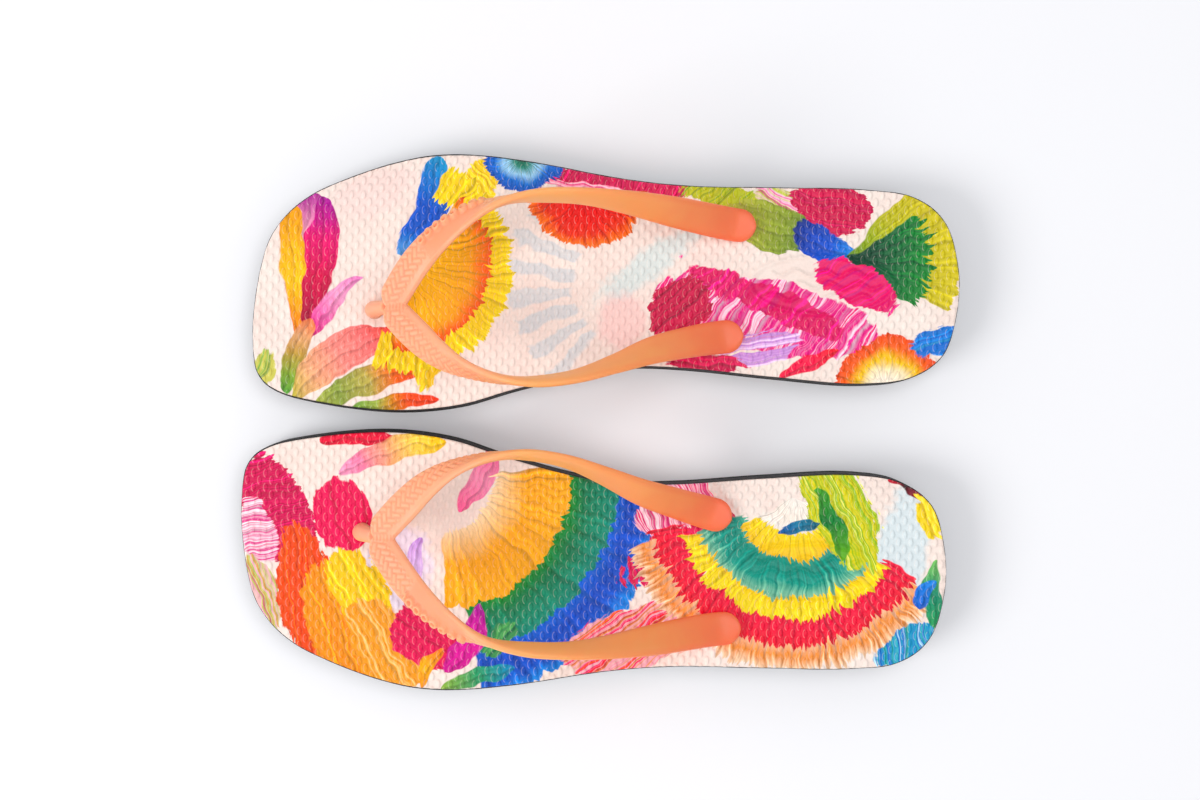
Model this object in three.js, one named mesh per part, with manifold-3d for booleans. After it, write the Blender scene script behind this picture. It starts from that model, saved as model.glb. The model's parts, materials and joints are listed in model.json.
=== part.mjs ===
// A pair of slim thong sandals (flip-flops) with printed footbeds, for EU size 38.
// Each sandal is a die-cut sole laminated from three sheets (printed footbed, foam core, outsole)
// and one moulded strap: two arms, a toe post and three plugs that pass down through the sole.
// Millimetres, +Z up, toes towards -X. The right sandal lies on the +Y side, the left one mirrors it.

import * as THREE from "three";
import { mergeVertices } from "three/addons/utils/BufferGeometryUtils.js";
import Module from "manifold-3d";

const wasm = await Module();
wasm.setup();

// ---- Driving dimensions of one sandal, in its own frame: X from toe to heel, +Y the outer side ----

const SOLE_TOE_X = -128;
const SOLE_LENGTH = 256;

// The footbed's edge, in order round the sole: the toe, the outer side, the heel, the inner side.
const FOOTBED_EDGE = [
  [-127.9, -22],
  [-126.4, -1],
  [-121.4, 16.5],
  [-110, 29],
  [-90, 38.5],
  [-68, 44.9],
  [-50, 46.1],
  [-25, 43.5],
  [3, 38.7],
  [28, 36.2],
  [62, 36],
  [93, 35.7],
  [111, 33.1],
  [122, 24.8],
  [127.4, 7],
  [127, -8.5],
  [122, -23.8],
  [111, -31.6],
  [93, -34.2],
  [62, -32.4],
  [30, -29.7],
  [10, -29.4],
  [-8, -32.2],
  [-33, -38.6],
  [-52, -44.3],
  [-75, -46.7],
  [-103, -44.2],
  [-119, -40.2],
  [-125.6, -34.6],
];
const EDGE_STEPS = 112;

const OUTSOLE_THICKNESS = 3.5;
const CORE_TOP_AT_TOE = 12.9;
const FOOTBED_THICKNESS = 1.1;
const GLUE_LINE = 0.1;
const HEEL_LIFT = 4; // how much thicker the sole is at the heel than at the toe
const EDGE_DRAFT = { x: 0.004, y: 0.012 }; // the cut edge leans out towards the ground
const BLACK_MARGIN = { x: 0.003, y: 0.012 }; // the core and outsole stand out past the footbed

// Plug holes: where each one is in the footbed.
const TOE_HOLE = [-83.8, -10.7];
const OUTER_HOLE = [47.6, 21.8];
const INNER_HOLE = [43.6, -18.6];
const PLUG_RADIUS = 3.1;
const PLUG_CLEARANCE = 0.3;
const BUTTON = { radius: 7.2, thickness: 2.4, bottom: 0.7, clearance: 0.6 };
const STEM_FOOT = 0.5; // how far up inside its button a stem starts
const HOLE_STEPS = 20;

// Strap: a flat band that starts face up at the toe post and turns over on its way back.
const BAND_THICKNESS = 3.2;
const BAND_STATIONS = 30;
const BAND_SIDES = 12;
const BAND_SQUARENESS = 2.6; // 2 is an ellipse, larger is squarer
const END_STATIONS = [0.004, 0.012, 0.022]; // extra ones near each end, as shares of the length
const END_WIDTH = 0.12; // the share of its width that an end keeps
const TONGUE_GAP = 0.3;

// Each station: x, y and height of the band's centre, its turn in degrees, and its width.
const OUTER_ARM = [
  [-76.5, -10.2, 32.6, 4, 10.6],
  [-67.2, 2.1, 38.2, 15, 11.6],
  [-58.4, 11, 43.4, 27, 11.4],
  [-47.6, 18.2, 48.6, 51, 11.2],
  [-35.4, 23.1, 53.1, 80, 11],
  [-21.6, 25.2, 55.4, 102, 11],
  [-7.6, 25.6, 54.2, 109, 11.2],
  [5.8, 24.9, 49.6, 122, 11.6],
  [20, 23.7, 40.8, 140, 12],
  [33.6, 22.7, 28.6, 160, 12],
  [44.6, 22, 19.9, 176, 12.2],
  [53.8, 21.4, 18.9, 180, 12.2],
];
const INNER_ARM = [
  [-76.5, -10.2, 32.6, 4, 10.6],
  [-66.5, -20.4, 38.2, 15, 11.6],
  [-57.4, -28.2, 43.4, 36, 11.4],
  [-46.8, -33.9, 48.6, 66, 11.2],
  [-34.8, -37.4, 53.1, 86, 11],
  [-22.4, -38.2, 55.4, 102, 11],
  [-9.4, -36.2, 54.2, 109, 11.2],
  [3.8, -31.6, 49.6, 122, 11.6],
  [17.4, -26, 40.8, 142, 12.2],
  [30.4, -22, 28.6, 160, 12],
  [40.8, -19.3, 19.9, 176, 12.2],
  [49.8, -17.6, 18.8, 180, 12.2],
];

// Toe post: from the toe hole, leaning back into the fork of the strap.
const POST_TOP = [-77, -10.2, 31.6];
const POST_SHOULDER = { x: 0.9, y: 0.1, z: 7 }; // from the hole's mouth, where the post starts to lean
const POST_SIDES = 16;
const POST_STATIONS = [0, 0.2, 0.42, 0.55, 0.7, 0.85, 1];

// Where each sandal lies, and how far it is turned about Z.
const RIGHT_PLACE = { x: 2.3, y: 49.8, turn: -1 };
const LEFT_PLACE = { x: -2.5, y: -51.8, turn: -1 };

// How far each arm is splayed outwards: soft straps never lie quite alike.
const SPLAY = {
  right: { outer: 2.3, inner: -2.4 },
  left: { outer: -0.2, inner: 2.6 },
};
const SPLAY_PEAK = { outer: 0.24, inner: 0.5 }; // where along an arm its splay is greatest

// ---- Geometry helpers ----

const toSolid = (geometry) => {
  const bare = geometry.clone();
  bare.deleteAttribute("normal");
  bare.deleteAttribute("uv");
  const merged = mergeVertices(bare, 1e-4);
  const mesh = new wasm.Mesh({
    numProp: 3,
    vertProperties: new Float32Array(merged.attributes.position.array),
    triVerts: new Uint32Array(merged.index.array),
  });
  return new wasm.Manifold(mesh);
};

const fromSolid = (solid) => {
  const mesh = solid.getMesh();
  const geometry = new THREE.BufferGeometry();
  geometry.setAttribute("position", new THREE.BufferAttribute(mesh.vertProperties, 3));
  geometry.setIndex(new THREE.BufferAttribute(mesh.triVerts, 1));
  geometry.computeVertexNormals();
  return geometry;
};

// A closed skin over a row of loops that have the same number of points.
const loft = (loops) => {
  const sides = loops[0].length;
  const points = [];
  const faces = [];
  loops.forEach((loop) => loop.forEach((p) => points.push(p.x, p.y, p.z)));
  for (let i = 0; i < loops.length - 1; i++) {
    for (let j = 0; j < sides; j++) {
      const a = i * sides + j;
      const b = i * sides + ((j + 1) % sides);
      faces.push(a, b, b + sides, a, b + sides, a + sides);
    }
  }
  const cap = (loopIndex, facesOut) => {
    const loop = loops[loopIndex];
    const middle = loop.reduce((sum, p) => sum.add(p), new THREE.Vector3()).divideScalar(sides);
    const hub = points.length / 3;
    points.push(middle.x, middle.y, middle.z);
    for (let j = 0; j < sides; j++) {
      const a = loopIndex * sides + j;
      const b = loopIndex * sides + ((j + 1) % sides);
      if (facesOut) faces.push(hub, a, b);
      else faces.push(hub, b, a);
    }
  };
  cap(0, false);
  cap(loops.length - 1, true);
  const geometry = new THREE.BufferGeometry();
  geometry.setAttribute("position", new THREE.Float32BufferAttribute(points, 3));
  geometry.setIndex(faces);
  return geometry;
};

// An upright cylinder between two heights.
const uprightCylinder = ([x, y], bottom, top, radius) => {
  const geometry = new THREE.CylinderGeometry(radius, radius, top - bottom, HOLE_STEPS);
  geometry.rotateX(Math.PI / 2);
  geometry.translate(x, y, (bottom + top) / 2);
  return toSolid(geometry);
};

// ---- Sole ----

const heelLift = (x) => (HEEL_LIFT * (x - SOLE_TOE_X)) / SOLE_LENGTH;
const coreTop = (x) => CORE_TOP_AT_TOE + heelLift(x);
const footbedTop = (x) => coreTop(x) + GLUE_LINE + FOOTBED_THICKNESS;

const soleEdge = () => {
  const through = FOOTBED_EDGE.map(([x, y]) => new THREE.Vector3(x, y, 0));
  const curve = new THREE.CatmullRomCurve3(through, true, "centripetal");
  return curve.getSpacedPoints(EDGE_STEPS).slice(0, EDGE_STEPS);
};

const PLUG_HOLES = [TOE_HOLE, OUTER_HOLE, INNER_HOLE];

// One sheet of the sole between a lower and an upper surface, pierced by the three plug holes.
const soleSheet = (lower, upper, holeRadius, margin = { x: 0, y: 0 }) => {
  const shape = new THREE.Shape(soleEdge().map((p) => new THREE.Vector2(p.x, p.y)));
  shape.holes = PLUG_HOLES.map(([x, y]) => new THREE.Path().absarc(x, y, holeRadius, 0, 2 * Math.PI));
  // An arc gets two steps for each curve segment.
  const options = { depth: 1, bevelEnabled: false, curveSegments: HOLE_STEPS / 2 };
  const sheet = new THREE.ExtrudeGeometry(shape, options);
  const place = sheet.attributes.position;
  const isHoleWall = (x, y) =>
    PLUG_HOLES.some((hole) => Math.hypot(x - hole[0], y - hole[1]) < holeRadius + 0.01);
  for (let i = 0; i < place.count; i++) {
    const x = place.getX(i);
    const y = place.getY(i);
    const z = place.getZ(i) > 0.5 ? upper(x) : lower(x);
    if (isHoleWall(x, y)) {
      place.setZ(i, z);
      continue;
    }
    const lean = 1 - z / footbedTop(x);
    const growX = 1 + margin.x + EDGE_DRAFT.x * lean;
    const growY = 1 + margin.y + EDGE_DRAFT.y * lean;
    place.setXYZ(i, x * growX, y * growY, z);
  }
  return sheet;
};

const outsole = () =>
  soleSheet(
    () => 0,
    () => OUTSOLE_THICKNESS,
    BUTTON.radius + BUTTON.clearance,
    BLACK_MARGIN,
  );

const foamCore = () =>
  soleSheet(
    () => OUTSOLE_THICKNESS + GLUE_LINE,
    coreTop,
    PLUG_RADIUS + PLUG_CLEARANCE,
    BLACK_MARGIN,
  );

const printedFootbed = () =>
  soleSheet((x) => coreTop(x) + GLUE_LINE, footbedTop, PLUG_RADIUS + PLUG_CLEARANCE);

// ---- Strap ----

// Round ends: the band's width fades to nothing over half a width at each end.
const endRounding = (travelled, length, halfWidth) => {
  const fromEnd = Math.min(travelled, length - travelled);
  if (fromEnd >= halfWidth) return 1;
  const gone = 1 - fromEnd / halfWidth;
  return Math.max(END_WIDTH, Math.sqrt(1 - gone * gone));
};

// The stations along an arm are closer together near both ends, so that the ends come out round.
const armSteps = () => {
  const even = Array.from({ length: BAND_STATIONS + 1 }, (_, i) => i / BAND_STATIONS);
  const steps = [...even, ...END_STATIONS, ...END_STATIONS.map((e) => 1 - e)];
  return steps.sort((a, b) => a - b);
};

const strapArm = (stations, side) => {
  const middle = new THREE.CatmullRomCurve3(
    stations.map(([x, y, z]) => new THREE.Vector3(x, y, z)),
    false,
    "centripetal",
  );
  // Turn and width follow the same curve parameter as the places.
  const turnAndWidth = new THREE.CatmullRomCurve3(
    stations.map(([, , , turn, width]) => new THREE.Vector3(turn, width, 0)),
    false,
    "catmullrom",
    0.5,
  );
  const length = middle.getLength();
  const up = new THREE.Vector3(0, 0, 1);
  const loops = armSteps().map((u) => {
    const t = middle.getUtoTmapping(u);
    const centre = middle.getPoint(t);
    const along = middle.getTangent(t);
    const { x: turn, y: width } = turnAndWidth.getPoint(t);
    const sideways = new THREE.Vector3().crossVectors(up, along).normalize();
    const outwards = sideways.clone().multiplyScalar(side);
    const upright = new THREE.Vector3().crossVectors(along, sideways).normalize();
    const angle = THREE.MathUtils.degToRad(turn);
    const face = upright.clone().multiplyScalar(Math.cos(angle)).addScaledVector(outwards, Math.sin(angle));
    const across = new THREE.Vector3().crossVectors(face, along).normalize();
    const half = (width / 2) * endRounding(u * length, length, width / 2);
    return Array.from({ length: BAND_SIDES }, (_, j) => {
      const a = (2 * Math.PI * j) / BAND_SIDES;
      const bulge = (v) => Math.sign(v) * Math.pow(Math.abs(v), 2 / BAND_SQUARENESS);
      return centre
        .clone()
        .addScaledVector(across, half * bulge(Math.cos(a)))
        .addScaledVector(face, (BAND_THICKNESS / 2) * bulge(Math.sin(a)));
    });
  });
  return toSolid(loft(loops));
};

const toePost = () => {
  const [x, y] = TOE_HOLE;
  const foot = footbedTop(x);
  const path = new THREE.CatmullRomCurve3(
    [
      new THREE.Vector3(x, y, BUTTON.bottom + STEM_FOOT),
      new THREE.Vector3(x, y, foot),
      new THREE.Vector3(x + POST_SHOULDER.x, y + POST_SHOULDER.y, foot + POST_SHOULDER.z),
      new THREE.Vector3(...POST_TOP),
    ],
    false,
    "centripetal",
  );
  const forward = new THREE.Vector3(1, 0, 0);
  const loops = POST_STATIONS.map((u) => {
    const centre = path.getPointAt(u);
    const along = path.getTangentAt(u);
    const b = new THREE.Vector3().crossVectors(along, forward).normalize();
    const a = new THREE.Vector3().crossVectors(b, along).normalize();
    return Array.from({ length: POST_SIDES }, (_, j) => {
      const angle = (2 * Math.PI * j) / POST_SIDES;
      return centre
        .clone()
        .addScaledVector(a, PLUG_RADIUS * Math.cos(angle))
        .addScaledVector(b, PLUG_RADIUS * Math.sin(angle));
    });
  });
  return toSolid(loft(loops));
};

const plugButton = (hole) =>
  uprightCylinder(hole, BUTTON.bottom, BUTTON.bottom + BUTTON.thickness, BUTTON.radius);

// Moves the stations of an arm sideways, most of all near `peak` and not at all at its ends.
const splayed = (stations, amount, peak) =>
  stations.map(([x, y, ...rest], i) => {
    const along = i / (stations.length - 1);
    const share = Math.sin(Math.PI * Math.pow(along, Math.log(0.5) / Math.log(peak)));
    return [x, y + amount * share, ...rest];
  });

const strap = ({ outer, inner }) => {
  const pieces = [
    strapArm(splayed(OUTER_ARM, outer, SPLAY_PEAK.outer), 1),
    strapArm(splayed(INNER_ARM, -inner, SPLAY_PEAK.inner), -1),
    toePost(),
    plugButton(TOE_HOLE),
  ];
  [OUTER_HOLE, INNER_HOLE].forEach((hole) => {
    const tongue = footbedTop(hole[0]) + TONGUE_GAP + BAND_THICKNESS / 2;
    pieces.push(uprightCylinder(hole, BUTTON.bottom + STEM_FOOT, tongue, PLUG_RADIUS));
    pieces.push(plugButton(hole));
  });
  return fromSolid(pieces.reduce((whole, piece) => whole.add(piece)));
};

// ---- Materials ----

const printedRubber = new THREE.MeshStandardMaterial({ color: 0xf6e9dc, roughness: 0.75, metalness: 0 });
const foamRubber = new THREE.MeshStandardMaterial({ color: 0x1c1a1c, roughness: 0.85, metalness: 0 });
const solidRubber = new THREE.MeshStandardMaterial({ color: 0x131214, roughness: 0.8, metalness: 0 });
const softPlastic = new THREE.MeshStandardMaterial({ color: 0xff9a63, roughness: 0.45, metalness: 0 });

// ---- Assembly ----

const named = (name, geometry, material) => {
  const mesh = new THREE.Mesh(geometry, material);
  mesh.name = name;
  return mesh;
};

const sandal = (foot) => {
  const group = new THREE.Group();
  group.add(
    named(`${foot}_printed_footbed`, printedFootbed(), printedRubber),
    named(`${foot}_foam_core`, foamCore(), foamRubber),
    named(`${foot}_outsole`, outsole(), solidRubber),
    named(`${foot}_strap`, strap(SPLAY[foot]), softPlastic),
  );
  return group;
};

const layDown = (group, { x, y, turn }) => {
  group.position.set(x, y, 0);
  group.rotation.z = THREE.MathUtils.degToRad(turn);
  return group;
};

const rightSandal = layDown(sandal("right"), RIGHT_PLACE);
const leftSandal = layDown(sandal("left"), LEFT_PLACE);
leftSandal.scale.y = -1;

const pair = new THREE.Group();
pair.add(rightSandal, leftSandal);

export default pair;
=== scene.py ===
import json
import math

import bpy
import numpy as np
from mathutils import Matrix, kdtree


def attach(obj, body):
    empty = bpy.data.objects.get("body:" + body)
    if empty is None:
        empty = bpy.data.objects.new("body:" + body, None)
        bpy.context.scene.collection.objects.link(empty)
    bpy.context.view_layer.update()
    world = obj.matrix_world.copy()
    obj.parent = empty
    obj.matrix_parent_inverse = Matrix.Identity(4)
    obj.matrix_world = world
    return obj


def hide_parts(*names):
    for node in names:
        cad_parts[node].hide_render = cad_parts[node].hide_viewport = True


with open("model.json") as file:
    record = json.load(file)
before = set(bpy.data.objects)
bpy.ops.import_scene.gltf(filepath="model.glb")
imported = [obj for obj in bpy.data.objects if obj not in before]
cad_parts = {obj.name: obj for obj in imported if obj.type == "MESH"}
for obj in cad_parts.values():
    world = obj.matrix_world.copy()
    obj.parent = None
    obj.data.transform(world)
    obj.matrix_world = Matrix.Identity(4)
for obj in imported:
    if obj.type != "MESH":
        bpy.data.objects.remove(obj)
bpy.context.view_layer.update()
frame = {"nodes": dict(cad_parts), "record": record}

# A pair of printed thong sandals. Lengths are in millimetres until a mesh is placed.
# Each sandal has a frame of its own: x from toe to heel, y to the outer side, z up.
mm = 0.001
layTurn = math.radians(-1)
treads = {mount["name"]: mount["pos_m"] for mount in frame["record"]["mounts"]}
sandals = {
    "right": {"place": np.array(treads["right_tread"]), "outer": 1, "splay": (2.3, -2.4)},
    "left": {"place": np.array(treads["left_tread"]), "outer": -1, "splay": (-0.2, 2.6)},
}
holes = {"toe": (-83.8, -10.7), "outer": (47.6, 21.8), "inner": (43.6, -18.6)}
holeClear = 9  # past the rim of any hole, and short of the sole's edge


def pickOnly(piece):
    bpy.ops.object.select_all(action="DESELECT")
    piece.select_set(True)
    bpy.context.view_layer.objects.active = piece


def applyModifier(piece, kind, **settings):
    modifier = piece.modifiers.new(kind, kind)
    for name, value in settings.items():
        setattr(modifier, name, value)
    pickOnly(piece)
    bpy.ops.object.modifier_apply(modifier=modifier.name)


def readPoints(piece):
    flat = np.empty(len(piece.data.vertices) * 3, np.float32)
    piece.data.vertices.foreach_get("co", flat)
    return flat.reshape(-1, 3).astype(float)


def writePoints(piece, points):
    piece.data.vertices.foreach_set("co", points.astype(np.float32).ravel())
    piece.data.update()


def saveValues(piece, name, values):
    layer = piece.data.attributes.new(name, "FLOAT", "POINT")
    layer.data.foreach_set("value", values.astype(np.float32))


def readValues(piece, name):
    values = np.empty(len(piece.data.vertices), np.float32)
    piece.data.attributes[name].data.foreach_get("value", values)
    return values.astype(float)


def turnFlat(x, y, z, angle):
    c, s = math.cos(angle), math.sin(angle)
    return x * c - y * s, x * s + y * c, z


def readChosen(piece):
    chosen = np.empty(len(piece.data.vertices), bool)
    piece.data.vertices.foreach_get("select", chosen)
    return chosen


def toWorld(points, foot):
    x, y, z = points.T
    return np.stack(turnFlat(x, y * foot["outer"], z, layTurn), 1) * mm + foot["place"]


def toSandal(points, foot):
    x, y, z = ((points - foot["place"]) / mm).T
    x, y, z = turnFlat(x, y, z, -layTurn)
    return np.stack([x, y * foot["outer"], z], 1)


def smoothStep(low, high, value):
    share = np.clip((value - low) / (high - low), 0, 1)
    return share * share * (3 - 2 * share)


def throughPoints(points, at, closed):
    # a Catmull-Rom curve: `at` counts points, so 2.5 is halfway from the third to the fourth
    if closed:
        start = np.floor(at).astype(int)
        near = [points[(start + k) % len(points)] for k in (-1, 0, 1, 2)]
    else:
        padded = np.vstack([2 * points[0] - points[1], points, 2 * points[-1] - points[-2]])
        start = np.clip(np.floor(at).astype(int), 0, len(points) - 2)
        near = [padded[start + k] for k in (0, 1, 2, 3)]
    a, b, c, d = near
    f = (at - start)[:, None]
    return b + 0.5 * f * (c - a + f * (2 * a - 5 * b + 4 * c - d + f * (3 * (b - c) + d - a)))


def closeShell(piece):
    # merges seams, closes open ends and turns every face outwards
    pickOnly(piece)
    bpy.ops.object.mode_set(mode="EDIT")
    bpy.ops.mesh.select_mode(type="VERT")
    bpy.ops.mesh.select_all(action="SELECT")
    bpy.ops.mesh.remove_doubles(threshold=1e-6)
    bpy.ops.mesh.select_all(action="DESELECT")
    bpy.ops.mesh.select_non_manifold(use_wire=False, use_multi_face=False, use_non_contiguous=False)
    bpy.ops.mesh.fill_holes(sides=0)
    bpy.ops.mesh.select_all(action="SELECT")
    bpy.ops.mesh.normals_make_consistent(inside=False)
    bpy.ops.object.mode_set(mode="OBJECT")


def smoothShade(piece, degrees):
    pickOnly(piece)
    bpy.ops.object.shade_smooth_by_angle(angle=math.radians(degrees))


def edgeRing(node, facing, foot):
    # the edge of a sheet's upper (1) or lower (-1) face, in order round the sole
    mesh = frame["nodes"][node].data
    flat = [i for face in mesh.polygons if face.normal.z * facing > 0.9 for i in face.vertices]
    points = toSandal(np.array([mesh.vertices[i].co for i in set(flat)]), foot)
    points = np.unique(points.round(3), axis=0)
    for hole in holes.values():
        points = points[np.hypot(points[:, 0] - hole[0], points[:, 1] - hole[1]) > holeClear]
    points = points[np.argsort(np.arctan2(points[:, 1], points[:, 0]))]
    reach = np.abs(points).max(0)
    corner = [int(np.argmax(points[:, 0] / reach[0] * sx + points[:, 1] / reach[1] * sy))
              for sx, sy in ((-1, -1), (1, -1), (1, 1), (-1, 1))]
    slope, level = np.polyfit(points[:, 0], points[:, 2], 1)
    return {"points": points[:, :2], "corners": corner, "slope": slope, "level": level}


def heightOf(ring, x):
    return ring["level"] + ring["slope"] * x


def stretchOver(ring, u, v):
    # spreads a unit square over the outline: u from toe to heel, v from the inner to the outer side
    points = ring["points"]
    count = len(points)
    a, b, c, d = ring["corners"]
    along = (1 - v)[:, None] * throughPoints(points, a + u * (b - a), True)
    along += v[:, None] * throughPoints(points, d + u * (c - d), True)
    across = (1 - u)[:, None] * throughPoints(points, a + count + v * (d - a - count), True)
    across += u[:, None] * throughPoints(points, b + v * (c - b), True)
    both = ((1 - u) * (1 - v))[:, None] * points[a] + (u * (1 - v))[:, None] * points[b]
    both += ((1 - u) * v)[:, None] * points[d] + (u * v)[:, None] * points[c]
    return along + across - both


def addGrid(name, alongSteps, acrossSteps):
    bpy.ops.object.select_all(action="DESELECT")
    bpy.ops.mesh.primitive_grid_add(x_subdivisions=alongSteps, y_subdivisions=acrossSteps, size=2)
    piece = bpy.context.object
    piece.name = piece.data.name = name
    square = readPoints(piece)
    saveValues(piece, "u", (square[:, 0] + 1) / 2)
    saveValues(piece, "v", (square[:, 1] + 1) / 2)
    return piece


def addWall(piece, foot, ring):
    # takes the open edge of a sheet to another ring and closes it there
    pickOnly(piece)
    bpy.ops.object.mode_set(mode="EDIT")
    bpy.ops.mesh.select_mode(type="EDGE")
    bpy.ops.mesh.select_all(action="DESELECT")
    bpy.ops.mesh.select_non_manifold(use_wire=False, use_multi_face=False, use_non_contiguous=False)
    bpy.ops.mesh.extrude_region_move()
    bpy.ops.object.mode_set(mode="OBJECT")
    chosen = readChosen(piece)
    points = readPoints(piece)
    u, v = readValues(piece, "u")[chosen], readValues(piece, "v")[chosen]
    flat = stretchOver(ring, u, v)
    points[chosen] = toWorld(np.column_stack([flat, heightOf(ring, flat[:, 0])]), foot)
    writePoints(piece, points)
    bpy.ops.object.mode_set(mode="EDIT")
    bpy.ops.mesh.edge_face_add()
    bpy.ops.mesh.select_all(action="SELECT")
    bpy.ops.mesh.normals_make_consistent(inside=False)
    bpy.ops.object.mode_set(mode="OBJECT")


def punchHoles(piece, foot, radius):
    cutters = []
    for hole in holes.values():
        spot = toWorld(np.array([[*hole, 0]]), foot)[0]
        bpy.ops.object.select_all(action="DESELECT")
        bpy.ops.mesh.primitive_cylinder_add(vertices=48, radius=radius * mm, depth=60 * mm, location=spot)
        cutters.append(bpy.context.object)
    for cutter in cutters:
        applyModifier(piece, "BOOLEAN", operation="DIFFERENCE", solver="EXACT", object=cutter)
        bpy.data.objects.remove(cutter)


def paint(code):
    # a hex colour as the linear values that a shader wants
    parts = [int(code[i:i + 2], 16) / 255 for i in (0, 2, 4)]
    return (*[p / 12.92 if p <= 0.04045 else ((p + 0.055) / 1.055) ** 2.4 for p in parts], 1)


class Wire:
    # an output socket that can be used in sums
    def __init__(self, finish, socket):
        self.finish = finish
        self.socket = socket

    def __add__(self, other):
        return self.finish.maths("ADD", self, other)

    def __radd__(self, other):
        return self.finish.maths("ADD", other, self)

    def __sub__(self, other):
        return self.finish.maths("SUBTRACT", self, other)

    def __rsub__(self, other):
        return self.finish.maths("SUBTRACT", other, self)

    def __mul__(self, other):
        return self.finish.maths("MULTIPLY", self, other)

    def __rmul__(self, other):
        return self.finish.maths("MULTIPLY", other, self)

    def __truediv__(self, other):
        return self.finish.maths("DIVIDE", self, other)

    def __pow__(self, other):
        return self.finish.maths("POWER", self, other)

    def __abs__(self):
        return self.finish.maths("ABSOLUTE", self)


class Finish:
    def __init__(self, name, world=None):
        self.material = world or bpy.data.materials.new(name)
        self.material.use_nodes = True
        self.tree = self.material.node_tree
        self.surface = self.tree.nodes["Background" if world else "Principled BSDF"]

    def add(self, kind, settings=None, sockets=None, out=0):
        node = self.tree.nodes.new("ShaderNode" + kind)
        for name, value in (settings or {}).items():
            if name == "stops":
                self.setStops(node.color_ramp, value)
            else:
                setattr(node, name, value)
        for name, value in (sockets or {}).items():
            self.feed(node.inputs[name], value)
        return Wire(self, node.outputs[out])

    def setStops(self, ramp, stops):
        for extra in range(len(stops) - 2):
            ramp.elements.new(0.5)
        for element, (position, colour) in zip(ramp.elements, stops):
            element.position = position
            element.color = colour

    def feed(self, socket, value):
        if isinstance(value, Wire):
            self.tree.links.new(value.socket, socket)
        else:
            socket.default_value = value

    def maths(self, operation, *values, clamp=False):
        return self.add("Math", {"operation": operation, "use_clamp": clamp}, dict(enumerate(values)))

    def mix(self, share, first, second, blend="MIX"):
        settings = {"data_type": "RGBA", "blend_type": blend}
        return self.add("Mix", settings, {0: share, 6: first, 7: second}, out=2)

    def ramp(self, value, stops):
        return self.add("ValToRGB", {"stops": stops}, {0: value})

    def noise(self, vector, scale=1.0, detail=2.0, roughness=0.5):
        sockets = {"Vector": vector, "Scale": scale, "Detail": detail, "Roughness": roughness}
        return self.add("TexNoise", None, sockets)

    def place(self, foot):
        # millimetres from the sole's centre, x towards the heel
        where = self.add("TexCoord", out=3)
        sockets = {"Vector": where, "Location": list(foot["place"]), "Rotation": (0, 0, layTurn),
                   "Scale": (mm, mm, mm)}
        return self.add("Mapping", {"vector_type": "TEXTURE"}, sockets)

    def split(self, vector):
        node = self.add("SeparateXYZ", None, {0: vector}).socket.node
        return [Wire(self, socket) for socket in node.outputs]

    def set(self, name, value):
        self.feed(self.surface.inputs[name], value)

    def bump(self, height, distance):
        sockets = {"Height": height, "Distance": distance * mm, "Strength": 1.0}
        self.set("Normal", self.add("Bump", None, sockets))


# The footbed is a sheet of foam rubber with an embossed grain.
footbed = {
    "alongSteps": 540,
    "acrossSteps": 166,
    "grainPitch": (2.21, 5.2),  # along and across the sole, every other column shifted by half
    "grainSize": (1.9, 3.6),
    "grainHeight": 0.4,
    "baseDrop": 0.28,  # how far the ground between the grains lies below the sheet's top
    "edgeRound": 0.7,
    "edgeDrop": 0.4,
    "holeRadius": 3.15,
    "plainRound": (3.8, 5.6),  # the grain starts between these distances from a hole
    "dish": {"radius": 3.2, "width": 1.4, "depth": 0.3},  # round each hole, where the strap pulls
    "emblem": {"x": 78.0, "y": 1.0, "long": 26.0, "wide": 10.5, "line": 0.6, "frameHeight": 0.75,
               "waveHeight": 0.7, "wavePitch": 4.4, "waveSwing": 1.1, "waveLength": 1.7},
}


def grainHeight(x, y):
    pitchX, pitchY = footbed["grainPitch"]
    column = np.round(x / pitchX)
    y = y - (column % 2) * pitchY / 2
    dx = (x - column * pitchX) / (footbed["grainSize"][0] / 2)
    dy = (y - np.round(y / pitchY) * pitchY) / (footbed["grainSize"][1] / 2)
    return footbed["grainHeight"] * np.clip(1 - dx ** 2 - dy ** 2, 0, 1) ** 0.6


def emblemHeight(x, y):
    # a plain oval frame round three waves, and how far it clears the grain
    emblem = footbed["emblem"]
    dx, dy = x - emblem["x"], y - emblem["y"]
    oval = np.hypot(dx / emblem["long"], dy / emblem["wide"])
    frameLine = np.exp(-(((oval - 1) * emblem["wide"]) / emblem["line"]) ** 2)
    inside = smoothStep(0.9, 0.78, oval)
    waves = 0
    for k in (-1, 0, 1):
        swing = emblem["waveSwing"] * np.sin(dx / emblem["waveLength"] + k)
        waves = waves + np.exp(-((dy - k * emblem["wavePitch"] - swing) / emblem["line"]) ** 2)
    drawn = emblem["frameHeight"] * frameLine + emblem["waveHeight"] * waves * inside
    return drawn, smoothStep(1.12, 1.02, oval)


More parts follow.
